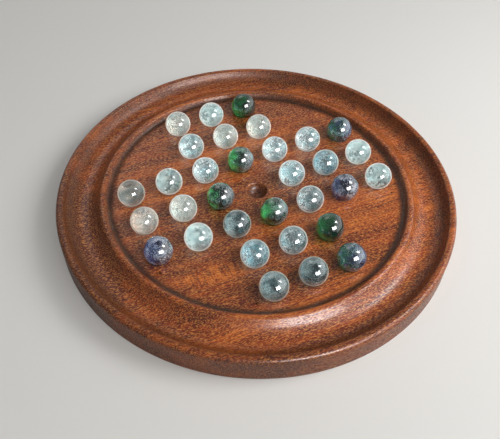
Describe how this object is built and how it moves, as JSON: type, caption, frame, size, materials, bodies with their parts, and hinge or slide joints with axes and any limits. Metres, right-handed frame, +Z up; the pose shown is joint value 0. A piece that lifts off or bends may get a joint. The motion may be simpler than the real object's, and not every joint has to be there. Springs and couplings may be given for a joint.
{
  "type": "peg solitaire board",
  "caption": "Round turned hardwood solitaire board: a cross of dimples holds loose glass marbles inside a raised bead, a hollow channel for captured marbles and a rounded rim.",
  "frame": {"origin": "middle of the board's underside", "axes": "+Z up along the turning axis, +X along the rows of dimples to the player's right, +Y along the files away from the player"},
  "size_m": [0.233, 0.233, 0.0257],
  "materials": {
    "mahogany": "turned reddish-brown hardwood with open pores, semi-gloss varnish",
    "clear_glass": "clear polished glass with a crackled inside",
    "milky_glass": "milky polished glass with a faint aqua tint",
    "green_glass": "dark green polished glass with bright flecks",
    "blue_glass": "dark blue-violet polished glass with gold flecks"
  },
  "bodies": {
    "board": {"board": "mahogany"},
    "marble_c7": {"marble_c7": "clear_glass"},
    "marble_d7": {"marble_d7": "milky_glass"},
    "marble_e7": {"marble_e7": "green_glass"},
    "marble_c6": {"marble_c6": "clear_glass"},
    "marble_d6": {"marble_d6": "clear_glass"},
    "marble_e6": {"marble_e6": "clear_glass"},
    "marble_a5": {"marble_a5": "clear_glass"},
    "marble_b5": {"marble_b5": "milky_glass"},
    "marble_c5": {"marble_c5": "clear_glass"},
    "marble_d5": {"marble_d5": "green_glass"},
    "marble_e5": {"marble_e5": "clear_glass"},
    "marble_f5": {"marble_f5": "clear_glass"},
    "marble_g5": {"marble_g5": "green_glass"},
    "marble_a4": {"marble_a4": "clear_glass"},
    "marble_b4": {"marble_b4": "clear_glass"},
    "marble_c4": {"marble_c4": "green_glass"},
    "marble_e4": {"marble_e4": "clear_glass"},
    "marble_f4": {"marble_f4": "clear_glass"},
    "marble_g4": {"marble_g4": "milky_glass"},
    "marble_a3": {"marble_a3": "blue_glass"},
    "marble_b3": {"marble_b3": "milky_glass"},
    "marble_c3": {"marble_c3": "clear_glass"},
    "marble_d3": {"marble_d3": "green_glass"},
    "marble_e3": {"marble_e3": "clear_glass"},
    "marble_f3": {"marble_f3": "blue_glass"},
    "marble_g3": {"marble_g3": "milky_glass"},
    "marble_c2": {"marble_c2": "clear_glass"},
    "marble_d2": {"marble_d2": "clear_glass"},
    "marble_e2": {"marble_e2": "green_glass"},
    "marble_c1": {"marble_c1": "clear_glass"},
    "marble_d1": {"marble_d1": "clear_glass"},
    "marble_e1": {"marble_e1": "green_glass"}
  },
  "joints": [
    {"name": "lift_c7", "type": "slide", "parent": "board", "child": "marble_c7", "axis": [0, 0, 1], "range_m": [0, 0.024]},
    {"name": "lift_d7", "type": "slide", "parent": "board", "child": "marble_d7", "axis": [0, 0, 1], "range_m": [0, 0.024]},
    {"name": "lift_e7", "type": "slide", "parent": "board", "child": "marble_e7", "axis": [0, 0, 1], "range_m": [0, 0.024]},
    {"name": "lift_c6", "type": "slide", "parent": "board", "child": "marble_c6", "axis": [0, 0, 1], "range_m": [0, 0.024]},
    {"name": "lift_d6", "type": "slide", "parent": "board", "child": "marble_d6", "axis": [0, 0, 1], "range_m": [0, 0.024]},
    {"name": "lift_e6", "type": "slide", "parent": "board", "child": "marble_e6", "axis": [0, 0, 1], "range_m": [0, 0.024]},
    {"name": "lift_a5", "type": "slide", "parent": "board", "child": "marble_a5", "axis": [0, 0, 1], "range_m": [0, 0.024]},
    {"name": "lift_b5", "type": "slide", "parent": "board", "child": "marble_b5", "axis": [0, 0, 1], "range_m": [0, 0.024]},
    {"name": "lift_c5", "type": "slide", "parent": "board", "child": "marble_c5", "axis": [0, 0, 1], "range_m": [0, 0.024]},
    {"name": "lift_d5", "type": "slide", "parent": "board", "child": "marble_d5", "axis": [0, 0, 1], "range_m": [0, 0.024]},
    {"name": "lift_e5", "type": "slide", "parent": "board", "child": "marble_e5", "axis": [0, 0, 1], "range_m": [0, 0.024]},
    {"name": "lift_f5", "type": "slide", "parent": "board", "child": "marble_f5", "axis": [0, 0, 1], "range_m": [0, 0.024]},
    {"name": "lift_g5", "type": "slide", "parent": "board", "child": "marble_g5", "axis": [0, 0, 1], "range_m": [0, 0.024]},
    {"name": "lift_a4", "type": "slide", "parent": "board", "child": "marble_a4", "axis": [0, 0, 1], "range_m": [0, 0.024]},
    {"name": "lift_b4", "type": "slide", "parent": "board", "child": "marble_b4", "axis": [0, 0, 1], "range_m": [0, 0.024]},
    {"name": "lift_c4", "type": "slide", "parent": "board", "child": "marble_c4", "axis": [0, 0, 1], "range_m": [0, 0.024]},
    {"name": "lift_e4", "type": "slide", "parent": "board", "child": "marble_e4", "axis": [0, 0, 1], "range_m": [0, 0.024]},
    {"name": "lift_f4", "type": "slide", "parent": "board", "child": "marble_f4", "axis": [0, 0, 1], "range_m": [0, 0.024]},
    {"name": "lift_g4", "type": "slide", "parent": "board", "child": "marble_g4", "axis": [0, 0, 1], "range_m": [0, 0.024]},
    {"name": "lift_a3", "type": "slide", "parent": "board", "child": "marble_a3", "axis": [0, 0, 1], "range_m": [0, 0.024]},
    {"name": "lift_b3", "type": "slide", "parent": "board", "child": "marble_b3", "axis": [0, 0, 1], "range_m": [0, 0.024]},
    {"name": "lift_c3", "type": "slide", "parent": "board", "child": "marble_c3", "axis": [0, 0, 1], "range_m": [0, 0.024]},
    {"name": "lift_d3", "type": "slide", "parent": "board", "child": "marble_d3", "axis": [0, 0, 1], "range_m": [0, 0.024]},
    {"name": "lift_e3", "type": "slide", "parent": "board", "child": "marble_e3", "axis": [0, 0, 1], "range_m": [0, 0.024]},
    {"name": "lift_f3", "type": "slide", "parent": "board", "child": "marble_f3", "axis": [0, 0, 1], "range_m": [0, 0.024]},
    {"name": "lift_g3", "type": "slide", "parent": "board", "child": "marble_g3", "axis": [0, 0, 1], "range_m": [0, 0.024]},
    {"name": "lift_c2", "type": "slide", "parent": "board", "child": "marble_c2", "axis": [0, 0, 1], "range_m": [0, 0.024]},
    {"name": "lift_d2", "type": "slide", "parent": "board", "child": "marble_d2", "axis": [0, 0, 1], "range_m": [0, 0.024]},
    {"name": "lift_e2", "type": "slide", "parent": "board", "child": "marble_e2", "axis": [0, 0, 1], "range_m": [0, 0.024]},
    {"name": "lift_c1", "type": "slide", "parent": "board", "child": "marble_c1", "axis": [0, 0, 1], "range_m": [0, 0.024]},
    {"name": "lift_d1", "type": "slide", "parent": "board", "child": "marble_d1", "axis": [0, 0, 1], "range_m": [0, 0.024]},
    {"name": "lift_e1", "type": "slide", "parent": "board", "child": "marble_e1", "axis": [0, 0, 1], "range_m": [0, 0.024]}
  ]
}
